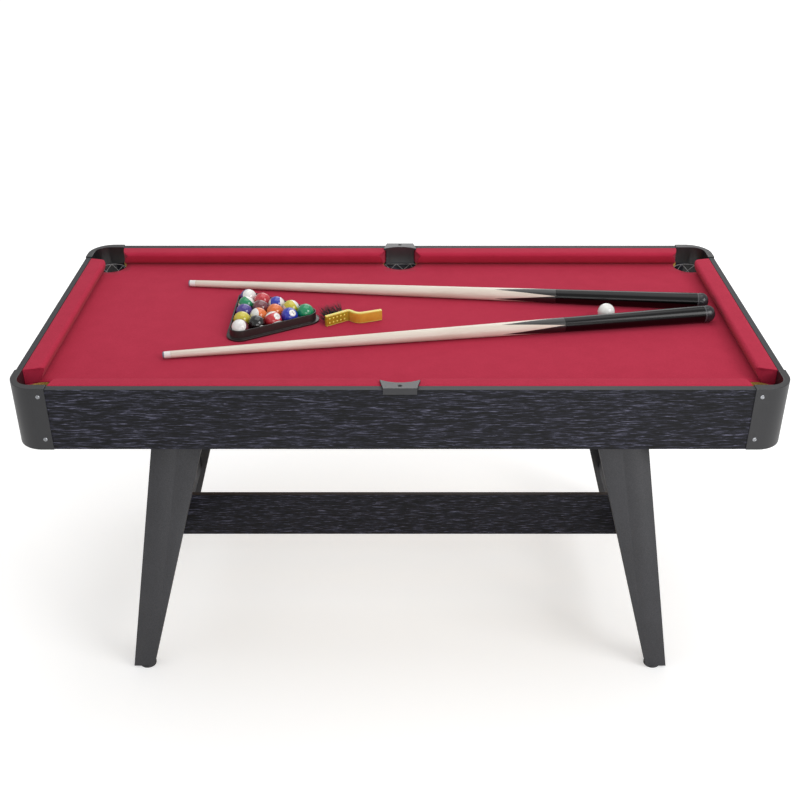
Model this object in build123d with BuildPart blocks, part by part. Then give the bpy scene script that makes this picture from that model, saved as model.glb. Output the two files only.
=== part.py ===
from build123d import *
import math
import os

# Six-pocket pool table for a games room, with its balls, rack, two cues and brush.
# X runs along the table, Y from front to back and Z up. The origin is on the floor
# under the middle of the table. Everything is in millimetres.

# Cabinet
table_length = 1530.0
table_width = 733.0
rim_height = 752.0
apron_height = 135.3
apron_thickness = 15.0
end_apron_thickness = 12.0
half_length = table_length / 2
half_width = table_width / 2
apron_bottom = rim_height - apron_height
inner_half_length = half_length - end_apron_thickness
inner_half_width = half_width - apron_thickness

# Bed
cloth_top = rim_height - 33.0
cloth_thickness = 1.0
bed_thickness = 12.0
bed_gap = 0.3
bed_top = cloth_top - cloth_thickness
bed_underside = bed_top - bed_thickness
corner_pocket_radius = 38.0
corner_pocket_x = half_length - 51.0
corner_pocket_y = half_width - 53.5
side_pocket_radius = 42.0
side_pocket_y = half_width - 32.1
net_wall = 2.0
net_rim_height = 4.0
net_depth = 80.0
net_taper = 10.0
net_gap = 0.2

# Rails, as depths inwards from the cabinet's outer face
rail_nose_depth = 51.0
rail_nose_radius = 8.0
rail_lip_depth = 45.0
rail_lip_drop = 25.0
rail_foot_depth = 38.0
block_depth = 33.0
block_top_gap = 4.0
block_end_gap = 2.0
long_rail_end = 687.0
long_rail_jaw = 7.0
short_rail_end = 285.5
side_jaw_outer = 33.0
side_jaw_nose = 43.0
corner_jaw = 12.0

# Corner caps
cap_proud = 1.5
cap_rise = 2.5
cap_drop = 0.4
cap_reach = 77.7
cap_radius = 56.0
cap_mouth_radius = 30.0
cap_liner_thickness = 1.5
cap_liner_drop = 40.0
cap_edge_radius = 0.9
cap_centre_x = half_length + cap_proud - cap_radius
cap_centre_y = half_width + cap_proud - cap_radius
cap_end_x = half_length - cap_reach
cap_end_y = half_width - cap_reach

# Side pocket plates
plate_thickness = 5.0
plate_proud = 3.0
plate_outer_half = 33.0
plate_inner_half = 40.0
plate_prong_half = 38.0
plate_width = 34.4
plate_waist = 24.0
plate_flap_drop = 9.0
plate_liner_half = 34.0
plate_liner_thickness = 2.0
plate_liner_bottom = 715.0
plate_edge_radius = 0.6
plate_screw_y = half_width - apron_thickness / 2
plate_screw_head = 4.6
plate_screw_length = 28.0
plate_arc_drop = plate_width - plate_waist
plate_arc_radius = (plate_prong_half**2 + plate_arc_drop**2) / (2 * plate_arc_drop)

# Screws and bolts
screw_inset = 64.0
screw_heights = (rim_height - 15.5, apron_bottom + 23.3)
screw_head_radius = 4.5
screw_head_height = 1.6
screw_shank_radius = 2.0
screw_length = 12.0
bolt_head_radius = 9.0
bolt_head_height = 5.0
bolt_shank_radius = 4.0
bolt_length = 50.0

# Legs
leg_thickness = 34.0
leg_setback = 36.0
leg_top = 700.0
leg_bottom = 5.5
leg_outer_foot = 608.7
leg_inner_foot = 563.0
leg_outer_slope = 0.17636
leg_inner_slope = 0.2719
leg_y_outer = half_width - leg_setback
leg_y_inner = leg_y_outer - leg_thickness
leg_bolt_x = 440.0
leg_bolt_heights = (648.0, 684.0)

# Levelling feet
foot_radius = 18.0
foot_height = 5.0
foot_stem_radius = 4.0
foot_stem_length = 26.0
foot_bore_depth = 27.0
foot_edge_radius = 1.0
foot_x = 579.5
foot_y = leg_y_outer - leg_thickness / 2
foot_clearance = 0.4

# Underframe
frame_bottom = 137.0
frame_top = 255.0
end_rail_inner = 538.5
end_rail_outer = end_rail_inner + 15.0
stretcher_thickness = 12.0
stretcher_bolt_heights = (166.0, 226.0)
stretcher_bolt_radius = 3.0
stretcher_bolt_head = 6.0
cleat_bottom = 636.0
cleat_inner_x = 55.0
cleat_outer_x = 640.0
batten_width = 40.0
batten_depth = 32.0
batten_x = 235.0
end_batten_half = 255.0
end_batten_thickness = 21.0

# Balls and rack
play_gap = 0.3
rest_height = cloth_top + play_gap
ball_radius = 19.05
ball_pitch = 39.4
rack_rows = 5
rack_apex_x = -210.3
rack_apex_y = 9.4
cue_ball_x = 459.5
cue_ball_y = 11.5
rack_inner_radius = 20.5
rack_outer_radius = 23.0
rack_flange_radius = 30.0
rack_flange_height = 4.0
rack_height = 22.0
row_pitch = ball_pitch * math.cos(math.radians(30))

# Cues, as distances from the tip
cue_length = 1208.0
cue_profile = ((0.0, 7.3), (500.0, 12.7), (cue_length, 18.9))
cue_ferrule_end = 17.5
cue_butt_start = 864.0
cue_bumper_start = 1186.0
cue_tip_rounding = 2.0
bumper_rounding = 15.0

# Brush
brush_height = 25.0
brush_thickness = 8.0
brush_path = ((-164.0, -23.0), (-114.0, 11.0), (-94.0, -8.0), (-41.0, 11.5))
brush_bend_radii = (8.0, 20.0)
bristle_length = 28.0
bristle_span = 40.0
bristle_margin = 5.0

corners = {
    "front_left": (-1, -1),
    "front_right": (1, -1),
    "back_left": (-1, 1),
    "back_right": (1, 1),
}
ends = {"left": -1, "right": 1}
sides = {"front": -1, "back": 1}

os.makedirs("parts", exist_ok=True)


def placed(piece, x_side, y_side):
    """Return a piece made in the back right quarter, mirrored into another quarter."""
    if x_side < 0:
        piece = mirror(piece, about=Plane.YZ)
    if y_side < 0:
        piece = mirror(piece, about=Plane.XZ)
    return piece


def board(x_span, y_span, z_span):
    """Return a rectangular board that fills three spans."""
    x_middle = (x_span[0] + x_span[1]) / 2
    y_middle = (y_span[0] + y_span[1]) / 2
    with BuildPart() as piece:
        with BuildSketch(Plane.XY.offset(z_span[0])):
            with Locations((x_middle, y_middle)):
                Rectangle(x_span[1] - x_span[0], y_span[1] - y_span[0])
        extrude(amount=z_span[1] - z_span[0])
    return piece.part


def face_planes(inset, heights, proud):
    """Return outward planes on the cabinet's faces, beside each of its corners."""
    planes = []
    for x_side, y_side in corners.values():
        for height in heights:
            long_face = (x_side * (half_length - inset), y_side * (half_width + proud), height)
            short_face = (x_side * (half_length + proud), y_side * (half_width - inset), height)
            planes.append(Plane(long_face, x_dir=(1, 0, 0), z_dir=(0, y_side, 0)))
            planes.append(Plane(short_face, x_dir=(0, 1, 0), z_dir=(x_side, 0, 0)))
    return planes


def fasteners(planes, head_radius, head_height, shank_radius, length):
    """Return one group of equal fasteners, each with its head on its plane."""
    with BuildPart() as group:
        with BuildSketch(*planes):
            Circle(head_radius)
        extrude(amount=head_height)
        with BuildSketch(*planes):
            Circle(shank_radius)
        extrude(amount=-length)
    return group.part


# Fasteners come first, because the pieces that they hold are drilled for them.
cap_screws = fasteners(
    face_planes(screw_inset, screw_heights, cap_proud),
    screw_head_radius,
    screw_head_height,
    screw_shank_radius,
    screw_length,
)
cap_screws.label = "cap_screws"
export_step(cap_screws, "parts/cap_screws.step")

with BuildPart() as plate_screws:
    with BuildSketch(Plane.XY.offset(rim_height + plate_thickness)):
        with GridLocations(0, 2 * plate_screw_y, 1, 2):
            Circle(plate_screw_head)
    extrude(amount=-(plate_screw_head - screw_shank_radius), taper=45)
    with BuildSketch(Plane.XY.offset(rim_height + plate_thickness)):
        with GridLocations(0, 2 * plate_screw_y, 1, 2):
            Circle(screw_shank_radius)
    extrude(amount=-plate_screw_length)
plate_screws.part.label = "side_pocket_screws"
export_step(plate_screws.part, "parts/side_pocket_screws.step")

leg_bolt_planes = [
    Plane((x_side * leg_bolt_x, y_side * leg_y_inner, height), x_dir=(1, 0, 0), z_dir=(0, -y_side, 0))
    for x_side, y_side in corners.values()
    for height in leg_bolt_heights
]
leg_bolts = fasteners(
    leg_bolt_planes, bolt_head_radius, bolt_head_height, bolt_shank_radius, bolt_length
)
leg_bolts.label = "leg_bolts"
export_step(leg_bolts, "parts/leg_bolts.step")

stretcher_bolt_planes = [
    Plane((x_side * end_rail_outer, 0, height), x_dir=(0, 1, 0), z_dir=(x_side, 0, 0))
    for x_side in ends.values()
    for height in stretcher_bolt_heights
]
stretcher_bolts = fasteners(
    stretcher_bolt_planes,
    stretcher_bolt_head,
    bolt_head_height,
    stretcher_bolt_radius,
    bolt_length,
)
stretcher_bolts.label = "stretcher_bolts"
export_step(stretcher_bolts, "parts/stretcher_bolts.step")


# Cabinet: four apron boards, which stop short of the rounded corners.
apron_heights = (apron_bottom, rim_height)
for name, y_side in sides.items():
    y_span = sorted((y_side * inner_half_width, y_side * half_width))
    with BuildPart() as long_apron:
        add(board((-cap_centre_x, cap_centre_x), y_span, apron_heights))
        add(cap_screws, mode=Mode.SUBTRACT)
        add(plate_screws.part, mode=Mode.SUBTRACT)
    long_apron.part.label = f"{name}_apron"
    export_step(long_apron.part, f"parts/{name}_apron.step")

for name, x_side in ends.items():
    x_span = sorted((x_side * inner_half_length, x_side * half_length))
    with BuildPart() as short_apron:
        add(board(x_span, (-cap_centre_y, cap_centre_y), apron_heights))
        add(cap_screws, mode=Mode.SUBTRACT)
    short_apron.part.label = f"{name}_apron"
    export_step(short_apron.part, f"parts/{name}_apron.step")


# Bed: a fibreboard sheet with its cloth, cut away at the six pockets.
def bed_layer(bottom, thickness):
    """Return a sheet that fills the cabinet and is open at the six pockets."""
    corner_x = inner_half_length - cap_end_x
    corner_y = inner_half_width - cap_end_y
    with BuildPart() as layer:
        with BuildSketch(Plane.XY.offset(bottom)):
            Rectangle(2 * (inner_half_length - bed_gap), 2 * (inner_half_width - bed_gap))
            with GridLocations(0, 2 * side_pocket_y, 1, 2):
                Circle(side_pocket_radius, mode=Mode.SUBTRACT)
            with GridLocations(2 * corner_pocket_x, 2 * corner_pocket_y, 2, 2):
                Circle(corner_pocket_radius, mode=Mode.SUBTRACT)
            with GridLocations(2 * inner_half_length, 2 * inner_half_width, 2, 2):
                Rectangle(2 * corner_x, 2 * corner_y, mode=Mode.SUBTRACT)
        extrude(amount=thickness)
    return layer.part


playing_bed = bed_layer(bed_underside, bed_thickness)
playing_bed.label = "playing_bed"
export_step(playing_bed, "parts/playing_bed.step")

bed_cloth = bed_layer(bed_top, cloth_thickness)
bed_cloth.label = "bed_cloth"
export_step(bed_cloth, "parts/bed_cloth.step")

batten_heights = (bed_underside - batten_depth, bed_underside)
with BuildPart() as bed_battens:
    for x_side in ends.values():
        x_middle = x_side * batten_x
        x_span = (x_middle - batten_width / 2, x_middle + batten_width / 2)
        add(board(x_span, (-leg_y_outer, leg_y_outer), batten_heights))
        x_outer = x_side * inner_half_length
        x_span = sorted((x_outer, x_outer - x_side * end_batten_thickness))
        add(board(x_span, (-end_batten_half, end_batten_half), batten_heights))
bed_battens.part.label = "bed_battens"
export_step(bed_battens.part, "parts/bed_battens.step")

with BuildPart() as leg_cleats:
    for x_side, y_side in corners.values():
        x_span = sorted((x_side * cleat_inner_x, x_side * cleat_outer_x))
        y_span = sorted((y_side * leg_y_outer, y_side * inner_half_width))
        add(board(x_span, y_span, (cleat_bottom, bed_underside)))
    add(leg_bolts, mode=Mode.SUBTRACT)
leg_cleats.part.label = "leg_cleats"
export_step(leg_cleats.part, "parts/leg_cleats.step")


# Corner caps: an outer skin, a top plate and a short inner liner.
def corner_band(outer, inner, bottom, top):
    """Return an L-shaped wall between two rounded corners, each an X face, Y face and radius."""
    with BuildPart() as band:
        with BuildSketch(Plane.XY.offset(bottom)):
            with BuildLine():
                for x_face, y_face, radius in (outer, inner):
                    CenterArc((x_face - radius, y_face - radius), radius, 0, 90)
                    Line((x_face - radius, y_face), (cap_end_x, y_face))
                    Line((x_face, y_face - radius), (x_face, cap_end_y))
                Line((cap_end_x, outer[1]), (cap_end_x, inner[1]))
                Line((outer[0], cap_end_y), (inner[0], cap_end_y))
            make_face()
        extrude(amount=top - bottom)
    return band.part


cap_face = (half_length + cap_proud, half_width + cap_proud, cap_radius)
cap_skin = (half_length, half_width, cap_radius - cap_proud)
cap_back = (inner_half_length, inner_half_width, cap_mouth_radius + cap_liner_thickness)
cap_mouth = (
    inner_half_length - cap_liner_thickness,
    inner_half_width - cap_liner_thickness,
    cap_mouth_radius,
)
with BuildPart() as corner_cap:
    add(corner_band(cap_face, cap_skin, apron_bottom - cap_drop, rim_height))
    add(corner_band(cap_face, cap_mouth, rim_height, rim_height + cap_rise))
    add(corner_band(cap_back, cap_mouth, rim_height - cap_liner_drop, rim_height))
    fillet(corner_cap.edges().group_by(Axis.Z)[-1], radius=cap_edge_radius)
    add(cap_screws, mode=Mode.SUBTRACT)

for name, (x_side, y_side) in corners.items():
    cap = placed(corner_cap.part, x_side, y_side)
    cap.label = f"corner_cap_{name}"
    export_step(cap, f"parts/corner_cap_{name}.step")


# Side pocket plates: a waisted top plate, a flap over the apron and a curved liner.
plate_face_y = half_width + plate_proud
plate_prong_y = plate_face_y - plate_width
plate_waist_y = plate_face_y - plate_waist
with BuildPart() as side_pocket:
    with BuildSketch(Plane.XY.offset(rim_height)):
        with BuildLine():
            Polyline(
                (-plate_prong_half, plate_prong_y),
                (-plate_inner_half, plate_prong_y),
                (-plate_outer_half, plate_face_y),
                (plate_outer_half, plate_face_y),
                (plate_inner_half, plate_prong_y),
                (plate_prong_half, plate_prong_y),
            )
            ThreePointArc(
                (plate_prong_half, plate_prong_y),
                (0, plate_waist_y),
                (-plate_prong_half, plate_prong_y),
            )
        make_face()
    extrude(amount=plate_thickness)
    add(
        board(
            (-plate_outer_half, plate_outer_half),
            (half_width, plate_face_y),
            (rim_height - plate_flap_drop, rim_height),
        )
    )
    with BuildSketch(Plane.XY.offset(plate_liner_bottom)):
        with Locations((0, plate_waist_y - plate_arc_radius)):
            Circle(plate_arc_radius + plate_liner_thickness)
            Circle(plate_arc_radius, mode=Mode.SUBTRACT)
        with Locations((0, plate_waist_y)):
            Rectangle(2 * plate_liner_half, plate_liner_half, mode=Mode.INTERSECT)
    extrude(amount=rim_height - plate_liner_bottom)
    fillet(side_pocket.edges().group_by(Axis.Z)[-1], radius=plate_edge_radius)
    add(plate_screws.part, mode=Mode.SUBTRACT)

for name, y_side in sides.items():
    plate = placed(side_pocket.part, 1, y_side)
    plate.label = f"side_pocket_plate_{name}"
    export_step(plate, f"parts/side_pocket_plate_{name}.step")


# Rails: a wooden block on each, wrapped by a rubber cushion and its cloth.
def cushion_bar(start_plane, back_depth, length):
    """Return a cushion's full section, extruded from a plane whose X points inwards."""
    nose_drop = rim_height - rail_nose_radius
    arc_middle = rail_nose_radius * math.sin(math.radians(45))
    with BuildPart() as bar:
        with BuildSketch(start_plane):
            with BuildLine():
                Polyline(
                    (rail_nose_depth, nose_drop),
                    (rail_lip_depth, rim_height - rail_lip_drop),
                    (rail_foot_depth, cloth_top),
                    (back_depth, cloth_top),
                    (back_depth, rim_height),
                    (rail_nose_depth - rail_nose_radius, rim_height),
                )
                ThreePointArc(
                    (rail_nose_depth - rail_nose_radius, rim_height),
                    (rail_nose_depth - rail_nose_radius + arc_middle, nose_drop + arc_middle),
                    (rail_nose_depth, nose_drop),
                )
            make_face()
        extrude(amount=length)
    return bar.part


def wedge(points):
    """Return an upright prism, cut from a rail's end to shape a pocket's jaw."""
    with BuildPart() as piece:
        with BuildSketch(Plane.XY.offset(cloth_top)):
            with BuildLine():
                Polyline(*points, close=True)
            make_face()
        extrude(amount=rim_height - cloth_top)
    return piece.part


block_heights = (cloth_top, rim_height - block_top_gap)
long_nose_y = half_width - rail_nose_depth
short_nose_x = half_length - rail_nose_depth

long_block = board(
    (side_jaw_nose - block_end_gap, long_rail_end - long_rail_jaw - block_end_gap),
    (half_width - block_depth, inner_half_width),
    block_heights,
)
with BuildPart() as long_cushion:
    add(
        cushion_bar(
            Plane((long_rail_end, half_width, 0), x_dir=(0, -1, 0), z_dir=(-1, 0, 0)),
            apron_thickness,
            long_rail_end - side_jaw_outer,
        )
    )
    add(
        wedge(
            (
                (side_jaw_outer, inner_half_width),
                (side_jaw_nose, long_nose_y),
                (side_jaw_outer, long_nose_y),
            )
        ),
        mode=Mode.SUBTRACT,
    )
    add(
        wedge(
            (
                (long_rail_end, inner_half_width),
                (long_rail_end - long_rail_jaw, long_nose_y),
                (long_rail_end, long_nose_y),
            )
        ),
        mode=Mode.SUBTRACT,
    )
    add(long_block, mode=Mode.SUBTRACT)

for name, (x_side, y_side) in corners.items():
    cushion = placed(long_cushion.part, x_side, y_side)
    cushion.label = f"cushion_{name}"
    export_step(cushion, f"parts/cushion_{name}.step")
    block = placed(long_block, x_side, y_side)
    block.label = f"rail_block_{name}"
    export_step(block, f"parts/rail_block_{name}.step")

short_block_half = short_rail_end - corner_jaw
short_block = board(
    (half_length - block_depth, inner_half_length),
    (-short_block_half, short_block_half),
    block_heights,
)
with BuildPart() as short_cushion:
    add(
        cushion_bar(
            Plane((half_length, -short_rail_end, 0), x_dir=(-1, 0, 0), z_dir=(0, 1, 0)),
            end_apron_thickness,
            2 * short_rail_end,
        )
    )
    for y_side in sides.values():
        add(
            wedge(
                (
                    (inner_half_length, y_side * short_rail_end),
                    (short_nose_x, y_side * (short_rail_end - corner_jaw)),
                    (short_nose_x, y_side * short_rail_end),
                )
            ),
            mode=Mode.SUBTRACT,
        )
    add(short_block, mode=Mode.SUBTRACT)

for name, x_side in ends.items():
    cushion = placed(short_cushion.part, x_side, 1)
    cushion.label = f"cushion_{name}"
    export_step(cushion, f"parts/cushion_{name}.step")
    block = placed(short_block, x_side, 1)
    block.label = f"rail_block_{name}"
    export_step(block, f"parts/rail_block_{name}.step")


# Nets: a thin bag under each pocket, cut off where it meets the aprons.
def net_bag(x_middle, y_middle, radius):
    """Return the net of one pocket as a tapering bag with an open top."""
    bag_top = bed_underside + net_rim_height
    bag_bottom = bed_underside - net_depth
    low_radius = radius - net_taper
    with BuildPart() as bag:
        with BuildSketch(Plane((x_middle, y_middle, 0), x_dir=(1, 0, 0), z_dir=(0, -1, 0))):
            with BuildLine():
                Polyline(
                    (0, bag_bottom),
                    (low_radius, bag_bottom),
                    (radius, bed_underside),
                    (radius, bag_top),
                    (radius - net_wall, bag_top),
                    (radius - net_wall, bed_underside),
                    (low_radius - net_wall, bag_bottom + net_wall),
                    (0, bag_bottom + net_wall),
                    close=True,
                )
            make_face()
        revolve(axis=Axis((x_middle, y_middle, 0), (0, 0, 1)))
        with BuildSketch(Plane.XY.offset(bag_bottom)):
            Rectangle(2 * inner_half_length, 2 * inner_half_width)
        extrude(amount=bag_top - bag_bottom, mode=Mode.INTERSECT)
    return bag.part


corner_net = net_bag(corner_pocket_x, corner_pocket_y, corner_pocket_radius - net_gap)
for name, (x_side, y_side) in corners.items():
    net = placed(corner_net, x_side, y_side)
    net.label = f"net_{name}"
    export_step(net, f"parts/net_{name}.step")

side_net = net_bag(0, side_pocket_y, side_pocket_radius - net_gap)
for name, y_side in sides.items():
    net = placed(side_net, 1, y_side)
    net.label = f"net_{name}_middle"
    export_step(net, f"parts/net_{name}_middle.step")


# Legs: tapered boards, bolted to the cleats and drilled for the levelling feet.
leg_height = leg_top - leg_bottom
with BuildPart() as leg:
    with BuildSketch(Plane.XZ.offset(-leg_y_outer)):
        with BuildLine():
            Polyline(
                (leg_inner_foot, leg_bottom),
                (leg_outer_foot, leg_bottom),
                (leg_outer_foot - leg_outer_slope * leg_height, leg_top),
                (leg_inner_foot - leg_inner_slope * leg_height, leg_top),
                close=True,
            )
        make_face()
    extrude(amount=leg_thickness)
    with BuildSketch(Plane.XY.offset(leg_bottom)):
        with Locations((foot_x, foot_y)):
            Circle(foot_stem_radius + foot_clearance)
    extrude(amount=foot_bore_depth, mode=Mode.SUBTRACT)
    add(leg_bolts, mode=Mode.SUBTRACT)

with BuildPart() as leveller:
    with BuildSketch():
        with Locations((foot_x, foot_y)):
            Circle(foot_radius)
    extrude(amount=foot_height)
    fillet(leveller.edges().group_by(Axis.Z)[-1], radius=foot_edge_radius)
    with BuildSketch(Plane.XY.offset(foot_height)):
        with Locations((foot_x, foot_y)):
            Circle(foot_stem_radius)
    extrude(amount=foot_stem_length)

for name, (x_side, y_side) in corners.items():
    table_leg = placed(leg.part, x_side, y_side)
    table_leg.label = f"leg_{name}"
    export_step(table_leg, f"parts/leg_{name}.step")
    foot = placed(leveller.part, x_side, y_side)
    foot.label = f"leveller_{name}"
    export_step(foot, f"parts/leveller_{name}.step")


# Underframe: a cross rail between each pair of legs and one long stretcher.
frame_heights = (frame_bottom, frame_top)
for name, x_side in ends.items():
    x_span = sorted((x_side * end_rail_inner, x_side * end_rail_outer))
    with BuildPart() as end_rail:
        add(board(x_span, (-leg_y_inner, leg_y_inner), frame_heights))
        add(stretcher_bolts, mode=Mode.SUBTRACT)
    end_rail.part.label = f"end_rail_{name}"
    export_step(end_rail.part, f"parts/end_rail_{name}.step")

with BuildPart() as stretcher:
    add(
        board(
            (-end_rail_inner, end_rail_inner),
            (-stretcher_thickness / 2, stretcher_thickness / 2),
            frame_heights,
        )
    )
    add(stretcher_bolts, mode=Mode.SUBTRACT)
stretcher.part.label = "stretcher"
export_step(stretcher.part, "parts/stretcher.step")


# Balls: fifteen racked in a triangle, and the cue ball.
rack_points = []
for row in range(rack_rows):
    for place in range(row + 1):
        x_middle = rack_apex_x - row * row_pitch
        y_middle = rack_apex_y + (place - row / 2) * ball_pitch
        rack_points.append((x_middle, y_middle))

with BuildPart() as object_balls:
    for x_middle, y_middle in rack_points:
        with Locations((x_middle, y_middle, rest_height + ball_radius)):
            Sphere(ball_radius)
object_balls.part.label = "object_balls"
export_step(object_balls.part, "parts/object_balls.step")

with BuildPart() as cue_ball:
    with Locations((cue_ball_x, cue_ball_y, rest_height + ball_radius)):
        Sphere(ball_radius)
cue_ball.part.label = "cue_ball"
export_step(cue_ball.part, "parts/cue_ball.step")


# Triangle rack: an upright wall on a flat flange.
rack_corners = (rack_points[0], rack_points[-rack_rows], rack_points[-1])


def rack_outline(radius, height):
    """Return a rounded triangle round the corner balls, raised from the cloth."""
    with BuildPart() as outline:
        with BuildSketch(Plane.XY.offset(rest_height)):
            with Locations(*rack_corners):
                Circle(radius)
            make_hull()
        extrude(amount=height)
    return outline.part


with BuildPart() as triangle:
    add(rack_outline(rack_flange_radius, rack_flange_height))
    add(rack_outline(rack_outer_radius, rack_height))
    add(rack_outline(rack_inner_radius, rack_height), mode=Mode.SUBTRACT)
triangle.part.label = "triangle_rack"
export_step(triangle.part, "parts/triangle_rack.step")


# Cues: turned pieces on one axis, tapered from the butt to the tip.
def cue_radius(distance):
    """Return a cue's radius at a distance from its tip."""
    for (start, start_radius), (end, end_radius) in zip(cue_profile, cue_profile[1:]):
        if distance <= end:
            return start_radius + (distance - start) / (end - start) * (end_radius - start_radius)


def cue_plane(tip_x, tip_y, heading):
    """Return a cue's plane, with its origin at the tip, X along the axis and Y up."""
    rise = (cue_profile[-1][1] - cue_profile[-2][1]) / (cue_length - cue_profile[-2][0])
    tip_height = rest_height + cue_profile[-2][1] - rise * cue_profile[-2][0]
    along = (math.cos(heading), math.sin(heading), rise)
    across = (math.sin(heading), -math.cos(heading), 0)
    return Plane((tip_x, tip_y, tip_height), x_dir=along, z_dir=across)


def turned(plane, start, end):
    """Return the stretch of a cue between two distances from its tip."""
    stations = [start] + [place for place, _ in cue_profile if start < place < end] + [end]
    outline = [(start, 0)] + [(place, cue_radius(place)) for place in stations] + [(end, 0)]
    with BuildPart() as piece:
        with BuildSketch(plane):
            with BuildLine():
                Polyline(*outline, close=True)
            make_face()
        revolve(axis=Axis(plane.origin, plane.x_dir))
    return piece.part


cues = {
    "cue_1": cue_plane(-496.5, -176.0, math.radians(8.62)),
    "cue_2": cue_plane(-501.7, 191.8, math.radians(-6.0)),
}
for name, plane in cues.items():
    axis = Axis(plane.origin, plane.x_dir)
    with BuildPart() as cue_tip:
        add(turned(plane, 0, cue_ferrule_end))
        fillet(cue_tip.edges().filter_by(GeomType.CIRCLE).sort_by(axis)[0], radius=cue_tip_rounding)
    cue_tip.part.label = f"{name}_tip"
    export_step(cue_tip.part, f"parts/{name}_tip.step")
    shaft = turned(plane, cue_ferrule_end, cue_butt_start)
    shaft.label = f"{name}_shaft"
    export_step(shaft, f"parts/{name}_shaft.step")
    butt = turned(plane, cue_butt_start, cue_bumper_start)
    butt.label = f"{name}_butt"
    export_step(butt, f"parts/{name}_butt.step")
    with BuildPart() as bumper:
        add(turned(plane, cue_bumper_start, cue_length))
        fillet(bumper.edges().filter_by(GeomType.CIRCLE).sort_by(axis)[-1], radius=bumper_rounding)
    bumper.part.label = f"{name}_bumper"
    export_step(bumper.part, f"parts/{name}_bumper.step")


# Brush: a bent strip on its narrow edge, with a block of bristles on its head.
head_start = Vector(*brush_path[0])
head_along = (Vector(*brush_path[1]) - head_start).normalized()
head_outward = Vector(-head_along.Y, head_along.X)
with BuildPart() as brush_handle:
    with BuildSketch(Plane.XY.offset(rest_height)):
        with BuildLine():
            FilletPolyline(*brush_path, radius=brush_bend_radii)
        trace(line_width=brush_thickness)
    extrude(amount=brush_height)
brush_handle.part.label = "brush_handle"
export_step(brush_handle.part, "parts/brush_handle.step")

bristle_corner = head_start + head_along * bristle_margin + head_outward * (brush_thickness / 2)
bristle_plane = Plane(
    (bristle_corner.X, bristle_corner.Y, rest_height + bristle_margin),
    x_dir=(head_along.X, head_along.Y, 0),
    z_dir=(0, 0, 1),
)
with BuildPart() as bristles:
    with BuildSketch(bristle_plane):
        Rectangle(bristle_span, bristle_length, align=(Align.MIN, Align.MIN))
    extrude(amount=brush_height - 2 * bristle_margin)
bristles.part.label = "brush_bristles"
export_step(bristles.part, "parts/brush_bristles.step")
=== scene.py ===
"""The looks of a small six-pocket pool table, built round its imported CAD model. Metres."""

import math
import random

import bmesh
import bpy
from mathutils import Matrix, Vector
from mathutils.geometry import delaunay_2d_cdt


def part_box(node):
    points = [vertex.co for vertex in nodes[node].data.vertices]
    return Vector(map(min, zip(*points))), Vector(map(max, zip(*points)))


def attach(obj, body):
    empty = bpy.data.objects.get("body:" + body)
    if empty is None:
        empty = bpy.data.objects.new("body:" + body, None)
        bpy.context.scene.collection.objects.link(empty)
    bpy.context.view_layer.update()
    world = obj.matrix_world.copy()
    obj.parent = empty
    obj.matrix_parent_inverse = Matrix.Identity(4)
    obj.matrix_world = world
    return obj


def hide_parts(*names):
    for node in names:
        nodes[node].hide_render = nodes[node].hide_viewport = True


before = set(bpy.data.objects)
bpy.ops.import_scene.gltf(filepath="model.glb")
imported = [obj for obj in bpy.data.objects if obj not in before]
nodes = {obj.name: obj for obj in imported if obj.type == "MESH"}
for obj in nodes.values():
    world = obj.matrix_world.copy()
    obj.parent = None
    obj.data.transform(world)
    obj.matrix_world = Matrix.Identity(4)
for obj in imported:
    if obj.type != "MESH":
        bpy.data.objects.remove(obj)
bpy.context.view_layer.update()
scene = bpy.context.scene
TABLE = "table"

# ---------------------------------------------------------------- sizes, from the frame
BED_LOW, BED_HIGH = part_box("bed_cloth")
CLOTH_TOP = BED_HIGH.z
APRON_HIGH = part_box("front_apron")[1]
RIM = APRON_HIGH.z
HALF_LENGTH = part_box("right_apron")[1].x
HALF_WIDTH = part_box("back_apron")[1].y
INNER_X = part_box("right_apron")[0].x
INNER_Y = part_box("back_apron")[0].y
END_THICKNESS = HALF_LENGTH - INNER_X
SIDE_THICKNESS = HALF_WIDTH - INNER_Y

CORNER_POCKET = Vector((HALF_LENGTH - 0.051, HALF_WIDTH - 0.0535))
CORNER_RADIUS = 0.038
SIDE_POCKET = Vector((0, HALF_WIDTH - 0.0321))
SIDE_RADIUS = 0.042

CORNERS = {
    "front_left": (-1, -1),
    "front_right": (1, -1),
    "back_left": (-1, 1),
    "back_right": (1, 1),
}
ENDS = {"left": -1, "right": 1}
SIDES = {"front": -1, "back": 1}


# ---------------------------------------------------------------- mesh helpers
def add_object(name, bm, *materials):
    """Turn a bmesh into a smooth object with these materials."""
    mesh = bpy.data.meshes.new(name)
    bm.to_mesh(mesh)
    bm.free()
    for polygon in mesh.polygons:
        polygon.use_smooth = True
    for material in materials:
        mesh.materials.append(material)
    piece = bpy.data.objects.new(name, mesh)
    scene.collection.objects.link(piece)
    return piece


def apply_modifiers(piece):
    """Replace a piece's mesh with the one that its modifiers make."""
    bpy.context.view_layer.update()
    depsgraph = bpy.context.evaluated_depsgraph_get()
    mesh = bpy.data.meshes.new_from_object(piece.evaluated_get(depsgraph))
    piece.modifiers.clear()
    piece.data = mesh


def bevel(piece, width, segments=3, angle=30):
    """Round a piece's sharp edges."""
    modifier = piece.modifiers.new("bevel", "BEVEL")
    modifier.width = width
    modifier.segments = segments
    modifier.limit_method = "ANGLE"
    modifier.angle_limit = math.radians(angle)
    modifier.use_clamp_overlap = True
    modifier.harden_normals = True
    apply_modifiers(piece)


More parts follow.
